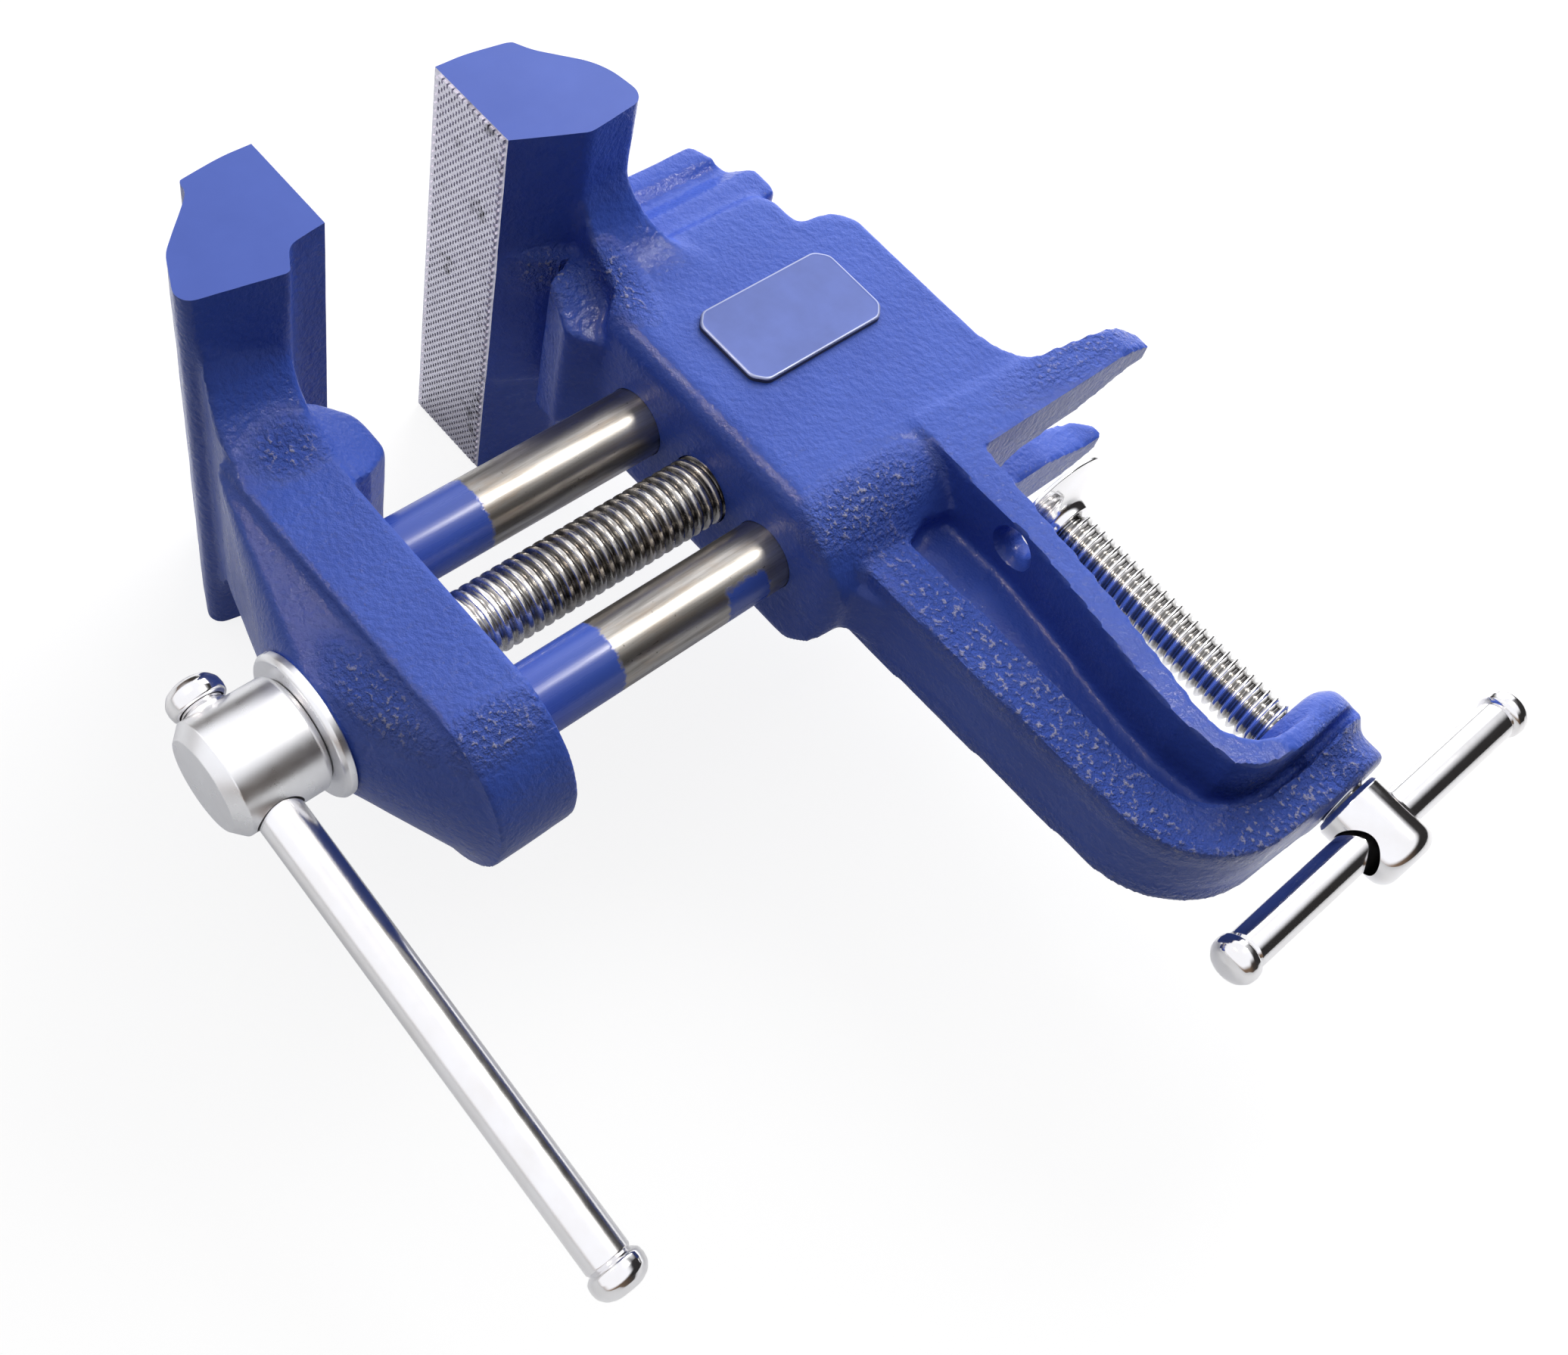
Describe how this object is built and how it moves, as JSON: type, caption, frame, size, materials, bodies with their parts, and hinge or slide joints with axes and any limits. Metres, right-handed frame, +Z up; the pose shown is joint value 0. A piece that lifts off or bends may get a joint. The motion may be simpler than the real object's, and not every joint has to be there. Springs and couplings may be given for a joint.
{
  "type": "clamp-on table vise",
  "caption": "Small bench vise on a C-frame: a moving jaw slides on guide rods when the main screw is turned, and a clamp screw with a flared pad grips the table edge.",
  "frame": {"origin": "on the table seat's plane, where the clamp screw's axis meets it", "axes": "+X across the jaws towards the side with the name plate, +Y to the back over the table, +Z up from the table"},
  "size_m": [0.0636, 0.1391, 0.1446],
  "materials": {
    "casting_paint": "gloss enamel over a rough casting",
    "guide_steel": "worn satin",
    "screw_steel": "oiled, with a bright plated head",
    "plated_steel": "bright plating",
    "plate_metal": "satin tinted face with a pale edge"
  },
  "bodies": {
    "frame": {"frame_casting": "casting_paint", "name_plate": "plate_metal"},
    "jaw_slide": {"moving_jaw": "casting_paint", "upper_guide_rod": "guide_steel", "lower_guide_rod": "guide_steel", "screw_retaining_pin": "guide_steel", "thrust_washer": "plated_steel"},
    "main_spindle": {"main_screw": "screw_steel"},
    "main_handle": {"main_handle_bar": "plated_steel", "main_handle_knob_near": "plated_steel", "main_handle_knob_far": "plated_steel"},
    "clamp_slide": {"clamp_pad": "plated_steel"},
    "clamp_spindle": {"clamp_screw": "plated_steel"},
    "clamp_handle": {"clamp_handle_bar": "plated_steel", "clamp_handle_knob_front": "plated_steel", "clamp_handle_knob_back": "plated_steel"}
  },
  "joints": [
    {"name": "jaw_travel", "type": "slide", "parent": "frame", "child": "jaw_slide", "axis": [0, 1, 0], "range_m": [-0.0257, 0.02505]},
    {"name": "main_screw_turn", "type": "hinge", "parent": "jaw_slide", "child": "main_spindle", "pos_m": [0, -0.1, 0.0212], "axis": [0, 1, 0], "range_deg": [-5826, 5680]},
    {"name": "main_bar_slide", "type": "slide", "parent": "main_spindle", "child": "main_handle", "axis": [-0.1736, 0, -0.9848], "range_m": [-0.06, 0]},
    {"name": "clamp_travel", "type": "slide", "parent": "frame", "child": "clamp_slide", "axis": [0, 0, 1], "range_m": [-0.0365, 0.0004]},
    {"name": "clamp_screw_turn", "type": "hinge", "parent": "clamp_slide", "child": "clamp_spindle", "pos_m": [0, 0, -0.03], "axis": [0, 0, 1], "range_deg": [-9310, 102]},
    {"name": "clamp_bar_slide", "type": "slide", "parent": "clamp_spindle", "child": "clamp_handle", "axis": [0.0698, 0.9976, 0], "range_m": [-0.0205, 0.0205]}
  ],
  "couplings": [
    {"joint": "jaw_travel", "follows": "main_screw_turn", "m_per_rad": 0.00025266},
    {"joint": "clamp_travel", "follows": "clamp_screw_turn", "m_per_rad": 0.00022457}
  ]
}
